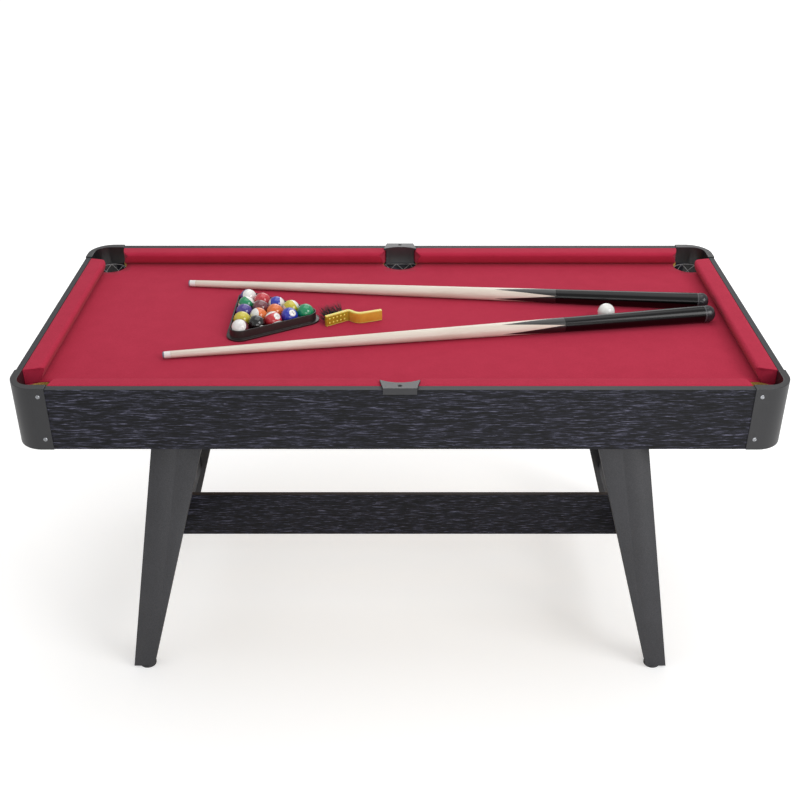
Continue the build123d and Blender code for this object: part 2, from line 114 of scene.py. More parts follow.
def refined(node, width, material, body=TABLE, segments=2):
    """Copy a CAD node with its edges rounded, and let the copy stand for it."""
    bm = bmesh.new()
    bm.from_mesh(nodes[node].data)
    bmesh.ops.remove_doubles(bm, verts=bm.verts, dist=0.00001)
    bmesh.ops.dissolve_limit(
        bm, angle_limit=math.radians(0.5), verts=bm.verts, edges=bm.edges
    )
    piece = add_object(f"{node}_finished", bm, material)
    bevel(piece, width, segments)
    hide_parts(node)
    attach(piece, body)
    return piece


def add_tube(bm, points, radii, sides=6, closed=False, material_index=0):
    """Add a round tube along points, with one radius for each point."""
    rings = []
    count = len(points)
    up = Vector((0, 0, 1))
    for index, point in enumerate(points):
        before = points[index - 1] if index or closed else point
        after = points[(index + 1) % count] if index < count - 1 or closed else point
        along = (after - before).normalized()
        across = along.cross(up)
        if across.length < 0.1:
            across = along.cross(Vector((1, 0, 0)))
        across.normalize()
        over = along.cross(across)
        ring = []
        for side in range(sides):
            turn = 2 * math.pi * side / sides
            offset = across * math.cos(turn) + over * math.sin(turn)
            ring.append(bm.verts.new(point + offset * radii[index]))
        rings.append(ring)
    pairs = list(zip(rings, rings[1:]))
    if closed:
        pairs.append((rings[-1], rings[0]))
    for first, second in pairs:
        for side in range(sides):
            following = (side + 1) % sides
            face = bm.faces.new((first[side], first[following], second[following], second[side]))
            face.material_index = material_index
    if not closed:
        for ring in (rings[0][::-1], rings[-1]):
            bm.faces.new(ring).material_index = material_index


def add_lathe(bm, outline, segments=48, material_index=0):
    """Add a solid turned round the X axis, from (distance, radius) points."""
    rings = []
    for distance, radius in outline:
        ring = []
        for segment in range(segments):
            turn = 2 * math.pi * segment / segments
            place = (distance, radius * math.cos(turn), radius * math.sin(turn))
            ring.append(bm.verts.new(place))
        rings.append(ring)
    for first, second in zip(rings, rings[1:]):
        for segment in range(segments):
            following = (segment + 1) % segments
            face = bm.faces.new(
                (first[segment], first[following], second[following], second[segment])
            )
            face.material_index = material_index
    for ring in (rings[0][::-1], rings[-1]):
        bm.faces.new(ring).material_index = material_index


# ---------------------------------------------------------------- material helpers
def srgb(red, green, blue):
    """Return a linear colour from screen values between 0 and 255."""
    return tuple((value / 255) ** 2.2 for value in (red, green, blue))


def new_material(name, roughness, **sockets):
    """Start a material and set constants on its shader's own sockets."""
    material = bpy.data.materials.new(name)
    material.use_nodes = True
    tree = material.node_tree
    shader = tree.nodes["Principled BSDF"]
    shader.inputs["Roughness"].default_value = roughness
    for socket, value in sockets.items():
        shader.inputs[socket.replace("_", " ")].default_value = value
    return material, tree, shader


def add_node(tree, kind, links=None, **settings):
    """Add a node, set its properties, and link or set its inputs."""
    node = tree.nodes.new(kind)
    for key, value in settings.items():
        setattr(node, key, value)
    for key, value in (links or {}).items():
        if isinstance(value, bpy.types.NodeSocket):
            tree.links.new(value, node.inputs[key])
        else:
            node.inputs[key].default_value = value
    return node


def coordinates(tree, scale=(1, 1, 1)):
    """Return object coordinates in metres, multiplied along each axis."""
    source = add_node(tree, "ShaderNodeTexCoord").outputs["Object"]
    links = {"Vector": source, "Scale": scale}
    return add_node(tree, "ShaderNodeMapping", links).outputs["Vector"]


def noise(tree, vector, scale, detail=3.0, roughness=0.55, distortion=0.0):
    """Return a noise value."""
    links = {
        "Vector": vector,
        "Scale": scale,
        "Detail": detail,
        "Roughness": roughness,
        "Distortion": distortion,
    }
    return add_node(tree, "ShaderNodeTexNoise", links).outputs["Fac"]


def ramp(tree, factor, *stops):
    """Return a colour that follows a value through (place, colour) stops."""
    node = add_node(tree, "ShaderNodeValToRGB", {"Fac": factor})
    elements = node.color_ramp.elements
    elements[0].position = stops[0][0]
    elements[1].position = stops[-1][0]
    for place, _ in stops[1:-1]:
        elements.new(place)
    for element, (_, colour) in zip(elements, stops):
        element.color = (*colour, 1)
    return node.outputs["Color"]


def mix(tree, factor, first, second):
    """Return a colour between two colours."""
    node = add_node(tree, "ShaderNodeMix", data_type="RGBA")
    for socket, value in ((0, factor), (6, first), (7, second)):
        if isinstance(value, bpy.types.NodeSocket):
            tree.links.new(value, node.inputs[socket])
        else:
            node.inputs[socket].default_value = value if socket == 0 else (*value, 1)
    return node.outputs[2]


def math_node(tree, operation, *values):
    """Return the result of one arithmetic step."""
    node = add_node(tree, "ShaderNodeMath", operation=operation)
    for index, value in enumerate(values):
        if isinstance(value, bpy.types.NodeSocket):
            tree.links.new(value, node.inputs[index])
        else:
            node.inputs[index].default_value = value
    return node.outputs[0]


def add_bump(tree, shader, height, strength, distance):
    """Raise the surface by a height value."""
    links = {"Height": height, "Strength": strength, "Distance": distance}
    bump = add_node(tree, "ShaderNodeBump", links)
    tree.links.new(bump.outputs["Normal"], shader.inputs["Normal"])


def set_colour(tree, shader, colour):
    """Link or set the base colour."""
    if isinstance(colour, bpy.types.NodeSocket):
        tree.links.new(colour, shader.inputs["Base Color"])
    else:
        shader.inputs["Base Color"].default_value = (*colour, 1)


def facing_up(tree):
    """Return 1 on faces that look up, and 0 elsewhere."""
    normal = add_node(tree, "ShaderNodeNewGeometry").outputs["Normal"]
    split = add_node(tree, "ShaderNodeSeparateXYZ", {"Vector": normal})
    return math_node(tree, "GREATER_THAN", split.outputs["Z"], 0.9)


# ---------------------------------------------------------------- materials
def laminate(name, grain_scale, edge_colour):
    """Black wood-grain laminate with broken streaks along the board and a plain edge."""
    material, tree, shader = new_material(name, 0.55, Specular_IOR_Level=0.3)
    place = coordinates(tree)
    warp = noise(tree, place, 6.0, 2.0)
    warp_vector = add_node(
        tree, "ShaderNodeCombineXYZ", {"Z": math_node(tree, "MULTIPLY", warp, 0.006)}
    ).outputs["Vector"]
    bent = add_node(
        tree, "ShaderNodeVectorMath", {0: place, 1: warp_vector}, operation="ADD"
    ).outputs["Vector"]
    stretched = add_node(
        tree, "ShaderNodeMapping", {"Vector": bent, "Scale": grain_scale}
    ).outputs["Vector"]
    streaks = noise(tree, stretched, 1.0, 5.0, 0.68, 0.5)
    tone = ramp(
        tree,
        streaks,
        (0.38, srgb(4, 4, 6)),
        (0.48, srgb(20, 20, 26)),
        (0.57, srgb(42, 42, 53)),
        (0.69, srgb(104, 104, 124)),
    )
    set_colour(tree, shader, mix(tree, facing_up(tree), tone, edge_colour))
    add_bump(tree, shader, streaks, 0.5, 0.0006)
    return material


def speckled_laminate():
    """Dark grey laminate with a fine speckle, as on the legs."""
    material, tree, shader = new_material("grey_laminate", 0.5)
    place = coordinates(tree)
    speckle = noise(tree, place, 900.0, 2.0, 0.7)
    blotch = noise(tree, place, 14.0, 3.0)
    fine = ramp(tree, speckle, (0.35, srgb(38, 38, 40)), (0.65, srgb(72, 72, 76)))
    broad = ramp(tree, blotch, (0.3, srgb(52, 52, 54)), (0.7, srgb(60, 60, 63)))
    set_colour(tree, shader, mix(tree, 0.45, fine, broad))
    add_bump(tree, shader, speckle, 0.25, 0.0002)
    return material


def fibreboard():
    """Raw fibreboard, tan with fine fibres."""
    material, tree, shader = new_material("fibreboard", 0.85)
    fibres = noise(tree, coordinates(tree, (1, 1, 3)), 420.0, 4.0, 0.7)
    colour = ramp(tree, fibres, (0.3, srgb(172, 128, 52)), (0.7, srgb(222, 184, 96)))
    set_colour(tree, shader, colour)
    add_bump(tree, shader, fibres, 0.4, 0.0003)
    return material


def softwood():
    """Planed softwood, with grain along its length."""
    material, tree, shader = new_material("softwood", 0.7)
    grain = noise(tree, coordinates(tree, (12, 12, 160)), 1.0, 4.0, 0.6, 0.8)
    colour = ramp(tree, grain, (0.3, srgb(158, 116, 70)), (0.7, srgb(206, 170, 118)))
    set_colour(tree, shader, colour)
    add_bump(tree, shader, grain, 0.2, 0.0003)
    return material


def cloth():
    """Red table cloth: a fine weave under a short nap, with slight mottling."""
    sockets = {"Sheen_Weight": 0.05, "Sheen_Roughness": 0.5, "Specular_IOR_Level": 0.1}
    material, tree, shader = new_material("red_cloth", 0.92, **sockets)
    place = coordinates(tree)
    nap = noise(tree, place, 620.0, 3.0, 0.75)
    mottle = noise(tree, place, 26.0, 3.0, 0.6)
    fine = ramp(tree, nap, (0.3, srgb(148, 33, 53)), (0.7, srgb(196, 57, 82)))
    broad = ramp(tree, mottle, (0.3, srgb(168, 43, 66)), (0.7, srgb(178, 48, 72)))
    set_colour(tree, shader, mix(tree, 0.5, fine, broad))
    threads = []
    for direction in ("X", "Y"):
        wave = add_node(
            tree,
            "ShaderNodeTexWave",
            {"Vector": place, "Scale": 320.0, "Distortion": 0.6, "Detail": 1.0},
            bands_direction=direction,
        )
        threads.append(wave.outputs["Fac"])
    weave = math_node(tree, "MAXIMUM", *threads)
    relief = math_node(tree, "ADD", math_node(tree, "MULTIPLY", weave, 0.4), nap)
    add_bump(tree, shader, relief, 0.35, 0.0004)
    return material


def plastic(name, colour, roughness, grain=700.0, relief=0.08, **sockets):
    """Moulded plastic with a fine texture and slightly uneven gloss."""
    material, tree, shader = new_material(name, roughness, **sockets)
    place = coordinates(tree)
    texture = noise(tree, place, grain, 2.0, 0.6)
    wear = noise(tree, place, 18.0, 4.0, 0.6)
    darker = tuple(value * 0.88 for value in colour)
    set_colour(tree, shader, ramp(tree, wear, (0.3, darker), (0.7, colour)))
    gloss = math_node(tree, "MULTIPLY_ADD", wear, 0.12, roughness - 0.06)
    tree.links.new(gloss, shader.inputs["Roughness"])
    add_bump(tree, shader, texture, relief, 0.0002)
    return material


def metal(name, colour, roughness):
    """Plated steel with fine scratches."""
    material, tree, shader = new_material(name, roughness, Metallic=1.0)
    marks = noise(tree, coordinates(tree, (1, 1, 6)), 500.0, 3.0, 0.7)
    darker = tuple(value * 0.7 for value in colour)
    set_colour(tree, shader, ramp(tree, marks, (0.3, darker), (0.7, colour)))
    add_bump(tree, shader, marks, 0.15, 0.0001)
    return material


def cord_material():
    """Pale cotton cord, with a twist in its surface."""
    material, tree, shader = new_material("net_cord", 0.85, Sheen_Weight=0.2)
    strands = noise(tree, coordinates(tree, (1, 1, 0.4)), 900.0, 2.0)
    colour = ramp(tree, strands, (0.3, srgb(120, 120, 122)), (0.7, srgb(190, 190, 192)))
    set_colour(tree, shader, colour)
    add_bump(tree, shader, strands, 0.5, 0.0004)
    return material


def maple(splice_start, splice_length):
    """Clear-coated pale maple, with four black points let in towards the butt."""
    sockets = {"Coat_Weight": 0.5, "Coat_Roughness": 0.15}
    material, tree, shader = new_material("maple", 0.4, **sockets)
    source = add_node(tree, "ShaderNodeTexCoord").outputs["Object"]
    split = add_node(tree, "ShaderNodeSeparateXYZ", {"Vector": source})
    grain = noise(tree, coordinates(tree, (6, 90, 90)), 1.0, 4.0, 0.6, 0.4)
    wood = ramp(tree, grain, (0.3, srgb(205, 192, 176)), (0.7, srgb(228, 219, 206)))
    angle = math_node(tree, "ARCTAN2", split.outputs["Z"], split.outputs["Y"])
    turns = math_node(tree, "MULTIPLY_ADD", angle, 4 / (2 * math.pi), 4.25)
    share = math_node(tree, "FRACT", turns)
    spread = math_node(tree, "MULTIPLY", math_node(tree, "ABSOLUTE", math_node(
        tree, "SUBTRACT", share, 0.5)), 2.0)
    along = math_node(tree, "SUBTRACT", split.outputs["X"], splice_start)
    progress = math_node(tree, "DIVIDE", along, splice_length)
    inside = math_node(tree, "GREATER_THAN", progress, spread)
    black = srgb(22, 20, 20)
    set_colour(tree, shader, mix(tree, inside, wood, black))
    add_bump(tree, shader, grain, 0.05, 0.0002)
    return material


def ball_material(number, colour, striped):
    """Polished resin: one colour, or white with a band, and a white spot on one side."""
    sockets = {"Coat_Weight": 0.6, "Coat_Roughness": 0.04}
    material, tree, shader = new_material(f"ball_{number}", 0.16, **sockets)
    source = add_node(tree, "ShaderNodeTexCoord").outputs["Object"]
    split = add_node(tree, "ShaderNodeSeparateXYZ", {"Vector": source})
    cloud = noise(tree, source, 90.0, 3.0)
    white = ramp(tree, cloud, (0.3, srgb(222, 221, 218)), (0.7, srgb(236, 235, 232)))
    deeper = tuple(value * 0.9 for value in colour)
    tint = ramp(tree, cloud, (0.3, deeper), (0.7, colour))
    surface = tint
    if striped:
        height = math_node(tree, "ABSOLUTE", split.outputs["Z"])
        outside = math_node(tree, "GREATER_THAN", height, BALL_RADIUS * 0.56)
        surface = mix(tree, outside, tint, white)
    spot = math_node(tree, "GREATER_THAN", split.outputs["X"], BALL_RADIUS * 0.91)
    set_colour(tree, shader, mix(tree, spot, surface, white))
    return material


def plain_ball_material():
    """Polished ivory-white resin."""
    sockets = {"Coat_Weight": 0.6, "Coat_Roughness": 0.04}
    material, tree, shader = new_material("ball_white", 0.16, **sockets)
    cloud = noise(tree, coordinates(tree), 70.0, 3.0)
    colour = ramp(tree, cloud, (0.3, srgb(224, 222, 218)), (0.7, srgb(238, 237, 234)))
    set_colour(tree, shader, colour)
    return material


def amber_plastic():
    """Translucent amber plastic, darker at its head, and paler along its top and bottom edges with a
    painted glow of light leaving them.
    """
    sockets = {"Transmission_Weight": 0.2, "Subsurface_Weight": 0.3, "Subsurface_Scale": 0.004}
    material, tree, shader = new_material("amber_plastic", 0.2, **sockets)
    place = coordinates(tree)
    split = add_node(tree, "ShaderNodeSeparateXYZ", {"Vector": place})
    cloud = noise(tree, place, 60.0, 3.0)
    handle = ramp(tree, cloud, (0.3, srgb(222, 164, 62)), (0.7, srgb(232, 178, 74)))
    head = ramp(tree, cloud, (0.3, srgb(176, 150, 44)), (0.7, srgb(196, 168, 56)))
    at_head = math_node(tree, "LESS_THAN", split.outputs["X"], HEAD_END)
    body = mix(tree, at_head, handle, head)
    low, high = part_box("brush_handle")
    # Within 2.2 mm of the handle's foot and top the colour is paler: a painted glow of light leaving
    # the edges.
    near_foot = math_node(tree, "LESS_THAN", split.outputs["Z"], low.z + 0.0022)
    near_top = math_node(tree, "GREATER_THAN", split.outputs["Z"], high.z - 0.0022)
    painted_edge_glow = math_node(tree, "MAXIMUM", near_foot, near_top)
    set_colour(tree, shader, mix(tree, painted_edge_glow, body, srgb(240, 224, 112)))
    return material


HEAD_END = -0.112
BALL_RADIUS = (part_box("cue_ball")[1].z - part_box("cue_ball")[0].z) / 2

GRAIN_SCALE = (34, 34, 470)
TRIM_COLOUR = srgb(62, 62, 65)
FRONT_LAMINATE = laminate("laminate_along", GRAIN_SCALE, TRIM_COLOUR)
SIDE_LAMINATE = laminate("laminate_across", GRAIN_SCALE, TRIM_COLOUR)
FRAME_LAMINATE = laminate("laminate_frame", GRAIN_SCALE, srgb(46, 36, 33))
LEG_LAMINATE = speckled_laminate()
FIBREBOARD = fibreboard()
SOFTWOOD = softwood()
CLOTH = cloth()
BLACK_PLASTIC = plastic("black_plastic", srgb(34, 34, 37), 0.32, Specular_IOR_Level=0.8)
PLATE_PLASTIC = plastic("plate_plastic", srgb(50, 50, 53), 0.32, Specular_IOR_Level=0.7)
RACK_PLASTIC = plastic("rack_plastic", srgb(46, 40, 40), 0.32)
STEEL = metal("screw_steel", srgb(176, 178, 182), 0.2)
DARK_STEEL = metal("dark_screw", srgb(60, 60, 62), 0.4)
CORD = cord_material()
BLACK_LACQUER = plastic("black_lacquer", srgb(8, 8, 9), 0.2, relief=0.02, Specular_IOR_Level=0.35)
WHITE_PLASTIC = plastic("white_plastic", srgb(236, 235, 232), 0.3)
BUTT_RING = plastic("butt_ring", srgb(70, 70, 73), 0.3)
RUBBER = plastic("grey_rubber", srgb(44, 44, 47), 0.24, grain=500.0, relief=0.03)
LEATHER = plastic("tip_leather", srgb(120, 130, 150), 0.85, grain=600.0, relief=0.4)
BRISTLE = plastic("black_bristle", srgb(14, 13, 13), 0.4)
AMBER = amber_plastic()
TUFT_YELLOW = plastic("tuft_plug", srgb(250, 238, 104), 0.3)
INK = plastic("number_ink", srgb(18, 18, 20), 0.3)


def paint(material, *names):
    """Give CAD nodes a material."""
    for name in names:
        mesh = nodes[name].data
        mesh.materials.clear()
        mesh.materials.append(material)


# ---------------------------------------------------------------- cabinet and underframe
def paint_cabinet():
    """The boards and hidden timbers keep their CAD shapes."""
    paint(FRONT_LAMINATE, "front_apron", "back_apron")
    paint(SIDE_LAMINATE, "left_apron", "right_apron")
    paint(FIBREBOARD, "playing_bed")
    paint(SOFTWOOD, "bed_battens", "leg_cleats")
    paint(SOFTWOOD, *[f"rail_block_{name}" for name in [*CORNERS, *ENDS]])
    paint(STEEL, "leg_bolts", "stretcher_bolts")
    paint(BLACK_PLASTIC, *[f"corner_cap_{name}" for name in CORNERS])
    paint(PLATE_PLASTIC, *[f"side_pocket_plate_{name}" for name in SIDES])
    for name in CORNERS:
        paint(BLACK_PLASTIC, f"leveller_{name}")
        refined(f"leg_{name}", 0.0008, LEG_LAMINATE)
    for name in ("stretcher", "end_rail_left", "end_rail_right"):
        refined(name, 0.0008, FRAME_LAMINATE)


def add_screw_head(bm, place, radius, height, recess):
    """Add a domed head with a cross recess, on a plane given by a matrix."""
    rings, segments = 10, 40
    arm = radius * 0.17
    reach = radius * 0.62
    grid = []
    for ring in range(rings + 1):
        distance = radius * ring / rings
        row = []
        for segment in range(segments):
            turn = 2 * math.pi * segment / segments
            across, up = distance * math.cos(turn), distance * math.sin(turn)
            lift = height * math.sqrt(max(0.0, 1 - (distance / radius) ** 2 * 0.96))
            in_arm = min(abs(across), abs(up)) < arm and distance < reach
            if in_arm:
                lift -= recess
            row.append(bm.verts.new(place @ Vector((across, up, lift))))
        grid.append(row)
    base = [
        bm.verts.new(place @ Vector((radius * math.cos(t), radius * math.sin(t), -0.0002)))
        for t in (2 * math.pi * segment / segments for segment in range(segments))
    ]
    grid.append(base)
    for first, second in zip(grid, grid[1:]):
        for segment in range(segments):
            following = (segment + 1) % segments
            bm.faces.new((first[segment], second[segment], second[following], first[following]))
    bm.faces.new(base)
    bmesh.ops.remove_doubles(bm, verts=grid[0], dist=0.00001)


SCREW_INSET = 0.064
SCREW_TOP_DROP = 0.0155
SCREW_FOOT_RISE = 0.0233
SCREW_RADIUS = 0.0045
SCREW_DOME = 0.0016
SCREW_RECESS = 0.0011
PLATE_SCREW_RADIUS = 0.0046
PLATE_SCREW_DOME = 0.0005
PLATE_SCREW_RECESS = 0.0012


def make_screws():
    """Two screws in each face of each corner cap, and one in each side plate."""
    bm = bmesh.new()
    face_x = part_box("corner_cap_front_right")[1].x
    face_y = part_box("corner_cap_back_right")[1].y
    for x_side, y_side in CORNERS.values():
        for height in (RIM - SCREW_TOP_DROP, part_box("front_apron")[0].z + SCREW_FOOT_RISE):
            long_face = Vector((x_side * (HALF_LENGTH - SCREW_INSET), y_side * face_y, height))
            short_face = Vector((x_side * face_x, y_side * (HALF_WIDTH - SCREW_INSET), height))
            for point, outward in (
                (long_face, Vector((0, y_side, 0))),
                (short_face, Vector((x_side, 0, 0))),
            ):
                turn = outward.to_track_quat("Z", "Y").to_matrix().to_4x4()
                spin = Matrix.Rotation(math.radians(20 + 90 * height), 4, "Z")
                place = Matrix.Translation(point) @ turn @ spin
                add_screw_head(bm, place, SCREW_RADIUS, SCREW_DOME, SCREW_RECESS)
    heads = add_object("cap_screw_heads", bm, STEEL)
    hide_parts("cap_screws")
    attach(heads, TABLE)

    bm = bmesh.new()
    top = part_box("side_pocket_plate_back")[1].z
    for y_side in SIDES.values():
        point = Vector((0, y_side * (HALF_WIDTH - SIDE_THICKNESS / 2), top))
        place = Matrix.Translation(point)
        add_screw_head(bm, place, PLATE_SCREW_RADIUS, PLATE_SCREW_DOME, PLATE_SCREW_RECESS)
    heads = add_object("side_plate_screw_heads", bm, DARK_STEEL)
    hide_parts("side_pocket_screws")
    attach(heads, TABLE)


# ---------------------------------------------------------------- cloth on the bed
def arc(centre, radius, start, end, count):
    """Return points on an arc between two angles in degrees."""
    points = []
    for index in range(count + 1):
        turn = math.radians(start + (end - start) * index / count)
        points.append(centre + radius * Vector((math.cos(turn), math.sin(turn))))
    return points


def bed_outline():
    """Return the cloth's outline, anticlockwise, with its six pocket openings."""
    edge_x, edge_y = BED_HIGH.x, BED_HIGH.y
    cap_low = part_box("corner_cap_back_right")[0]
    start = math.degrees(math.asin((cap_low.y - CORNER_POCKET.y) / CORNER_RADIUS))
    end = math.degrees(math.acos((cap_low.x - CORNER_POCKET.x) / CORNER_RADIUS)) - 360
    lift = math.degrees(math.asin((edge_y - SIDE_POCKET.y) / SIDE_RADIUS))
    quarter = [Vector((edge_x, cap_low.y))]
    quarter.extend(arc(CORNER_POCKET, CORNER_RADIUS, start, end, 26))
    quarter.append(Vector((cap_low.x, edge_y)))
    quarter.extend(arc(SIDE_POCKET, SIDE_RADIUS, lift, -90, 14))
    outline = []
    for x_side, y_side in ((1, 1), (-1, 1), (-1, -1), (1, -1)):
        points = [Vector((x_side * p.x, y_side * p.y)) for p in quarter]
        if x_side * y_side < 0:
            points.reverse()
        if outline and (outline[-1] - points[0]).length < 0.00001:
            points = points[1:]
        outline.extend(points)
    if (outline[-1] - outline[0]).length < 0.00001:
        outline.pop()
    return outline


CLOTH_MESH_STEP = 0.02
CLOTH_THICKNESS = 0.0008


def make_bed_cloth():
    """One flat sheet of cloth, stretched over the bed."""
    outline = bed_outline()
    count = len(outline)
    edges = [(index, (index + 1) % count) for index in range(count)]
    points = list(outline)
    columns = int(BED_HIGH.x / CLOTH_MESH_STEP)
    rows = int(BED_HIGH.y / CLOTH_MESH_STEP)
    for column in range(-columns, columns + 1):
        for row in range(-rows, rows + 1):
            points.append(Vector((column, row)) * CLOTH_MESH_STEP)
    result = delaunay_2d_cdt(points, edges, [], 1, 0.00001)
    bm = bmesh.new()
    vertices = [bm.verts.new((p.x, p.y, CLOTH_TOP)) for p in result[0]]
    for face in result[2]:
        bm.faces.new([vertices[index] for index in face])
    area = sum(face.calc_area() for face in bm.faces)
    sheet = add_object("table_cloth", bm, CLOTH)
    solidify = sheet.modifiers.new("thickness", "SOLIDIFY")
    solidify.thickness = CLOTH_THICKNESS
    solidify.offset = -1
    apply_modifiers(sheet)
    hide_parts("bed_cloth")
    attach(sheet, TABLE)


# ---------------------------------------------------------------- rails
NOSE_DEPTH = 0.051
NOSE_RADIUS = 0.008
LIP_DEPTH = 0.045
LIP_DROP = 0.025
FOOT_DEPTH = 0.038
JAW_ROUNDING = 0.010
EDGE_ROUNDING = 0.0012
SKIN_GAP = 0.0002
CROWN = 0.0003
SIDE_JAW = 0.010
CORNER_JAW = 0.007
END_JAW = 0.010


def rail_profile(back):
    """Return the covered cushion's section as (depth from the outer face, height)."""
    foot = CLOTH_TOP + SKIN_GAP
    points = [(back, foot), (back, RIM - EDGE_ROUNDING), (back + EDGE_ROUNDING, RIM)]
    flat_end = NOSE_DEPTH - NOSE_RADIUS
    for share in (0.25, 0.5, 0.75):
        depth = back + share * (flat_end - back)
        points.append((depth, RIM + CROWN * math.sin(math.pi * share)))
    for index in range(9):
        turn = math.radians(90 - 90 * index / 8)
        depth = flat_end + NOSE_RADIUS * math.cos(turn)
        points.append((depth, RIM - NOSE_RADIUS + NOSE_RADIUS * math.sin(turn)))
    lip = RIM - LIP_DROP
    halfway = (RIM - NOSE_RADIUS + lip) / 2
    points.append(((NOSE_DEPTH + LIP_DEPTH) / 2, halfway))
    points.extend(((LIP_DEPTH + 0.0004, lip + 0.001), (LIP_DEPTH - 0.0008, lip - 0.001)))
    points.append((FOOT_DEPTH, foot))
    return points


def jaw(depth, back, at_back, at_nose):
    """Return where a rail's end lies at a depth: a straight jaw that rounds at the nose."""
    share = (depth - back) / (NOSE_DEPTH - back)
    place = at_back + share * (at_nose - at_back)
    into_round = depth - (NOSE_DEPTH - JAW_ROUNDING)
    if into_round <= 0:
        return place
    pull = JAW_ROUNDING - math.sqrt(max(0.0, JAW_ROUNDING**2 - into_round**2))
    return place + math.copysign(pull, at_nose - at_back)


def make_rail(name, back, to_world, low_jaw, high_jaw):
    """Make one rail between two jaws, each given as (place at the back, place at the nose)."""
    back += SKIN_GAP
    profile = rail_profile(back)
    margin, spans = 0.03, 24
    stations = [0, 0.004, 0.012, margin]
    middle = [margin + (1 - 2 * margin) * index / spans for index in range(1, spans)]
    stations = stations + middle + [1 - s for s in reversed(stations)]
    bm = bmesh.new()
    rings = []
    for share in stations:
        ring = []
        for depth, height in profile:
            low = jaw(depth, back, *low_jaw)
            high = jaw(depth, back, *high_jaw)
            place = low + share * (high - low)
            ring.append(bm.verts.new(to_world(place, depth, height)))
        rings.append(ring)
    size = len(profile)
    for first, second in zip(rings, rings[1:]):
        for index in range(size):
            following = (index + 1) % size
            bm.faces.new((first[index], first[following], second[following], second[index]))
    bm.faces.new(rings[0][::-1])
    bm.faces.new(rings[-1])
    bmesh.ops.recalc_face_normals(bm, faces=bm.faces)
    rail = add_object(f"rail_{name}", bm, CLOTH)
    bevel(rail, 0.0016, 3, 50)
    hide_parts(f"cushion_{name}")
    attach(rail, TABLE)


def make_rails():
    """Two rails along each side and one at each end."""
    corner_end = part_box("cushion_back_right")[1].x
    side_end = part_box("cushion_back_right")[0].x
    short_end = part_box("cushion_right")[1].y
    for name, (x_side, y_side) in CORNERS.items():

        def place_long(along, depth, height, x_side=x_side, y_side=y_side):
            return (x_side * along, y_side * (HALF_WIDTH - depth), height)

        make_rail(
            name,
            SIDE_THICKNESS,
            place_long,
            (side_end, side_end + SIDE_JAW),
            (corner_end, corner_end - CORNER_JAW),
        )
    for name, x_side in ENDS.items():

        def place_short(along, depth, height, x_side=x_side):
            return (x_side * (HALF_LENGTH - depth), along, height)

        make_rail(
            name,
            END_THICKNESS,
            place_short,
            (-short_end, -short_end + END_JAW),
            (short_end, short_end - END_JAW),
        )


# ---------------------------------------------------------------- nets
CORD_RADIUS = 0.0007
NET_STRANDS = 7
NET_ROWS = 3
NET_TAPER = 0.012
NET_TURN_HEIGHT = 0.008
NET_GAP = 0.0015


def make_net(name, centre, radius):
    """A bag of knotted diamonds that hangs under one pocket and lies flat on the aprons."""
    low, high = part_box(name)
    steps = 8 * NET_ROWS
    rim_height = high.z - CORD_RADIUS
    floor_height = low.z + CORD_RADIUS
    turn_height = floor_height + NET_TURN_HEIGHT
    low_radius = radius - NET_TAPER

    def point(turn, share):
        """Return a point on the bag, at a turn and a share of the way down and in."""
        wall = 0.78
        if share < wall:
            part = share / wall
            reach = radius + (low_radius - radius) * part
            height = rim_height + (turn_height - rim_height) * part
        else:
            part = (share - wall) / (1 - wall)
            reach = low_radius * math.cos(part * math.pi / 2 * 0.92)
            height = floor_height + NET_TURN_HEIGHT * (1 - math.sin(part * math.pi / 2))
        x = centre.x + reach * math.cos(turn)
        y = centre.y + reach * math.sin(turn)
        edge_x, edge_y = INNER_X - CORD_RADIUS, INNER_Y - CORD_RADIUS
        return Vector((max(-edge_x, min(edge_x, x)), max(-edge_y, min(edge_y, y)), height))

    bm = bmesh.new()
    pitch = 2 * math.pi / NET_STRANDS
    for direction in (-1, 1):
        for strand in range(NET_STRANDS):
            path = []
            for step in range(steps + 1):
                share = step / steps
                turn = pitch * (strand + direction * share * NET_ROWS)
                path.append(point(turn, share))
            add_tube(bm, path, [CORD_RADIUS] * len(path))
    for share in (0.0, 1.0):
        ring = [point(2 * math.pi * index / 36, share) for index in range(36)]
        add_tube(bm, ring, [CORD_RADIUS] * len(ring), closed=True)
    for level in range(1, 2 * NET_ROWS):
        share = level / (2 * NET_ROWS)
        for strand in range(NET_STRANDS):
            turn = pitch * (strand + (0.5 if level % 2 else 0.0))
            knot = Matrix.Translation(point(turn, share))
            size = CORD_RADIUS * 1.7
            bmesh.ops.create_icosphere(bm, subdivisions=1, radius=size, matrix=knot)
    net = add_object(f"{name}_cords", bm, CORD)
    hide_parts(name)
    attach(net, TABLE)


def make_nets():
    """A net under each of the six pockets."""
    for name, (x_side, y_side) in CORNERS.items():
        centre = Vector((x_side * CORNER_POCKET.x, y_side * CORNER_POCKET.y))
        make_net(f"net_{name}", centre, CORNER_RADIUS - NET_GAP)
    for name, y_side in SIDES.items():
        centre = Vector((0, y_side * SIDE_POCKET.y))
        make_net(f"net_{name}_middle", centre, SIDE_RADIUS - NET_GAP)


# ---------------------------------------------------------------- balls
def add_ball(name, material, centre, body, spin):
    """Add one polished ball."""
    bm = bmesh.new()
    bmesh.ops.create_icosphere(bm, subdivisions=5, radius=BALL_RADIUS)
    ball = add_object(name, bm, material)
    ball.matrix_world = Matrix.Translation(centre) @ spin
    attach(ball, body)
    return ball


def ball_spin(number_way, pole_way):
    """Turn a ball so that its number faces one way and its pole another."""
    x_axis = Vector(number_way).normalized()
    z_axis = Vector(pole_way)
    z_axis = (z_axis - x_axis * z_axis.dot(x_axis)).normalized()
    y_axis = z_axis.cross(x_axis)
    return Matrix((x_axis, y_axis, z_axis)).transposed().to_4x4()


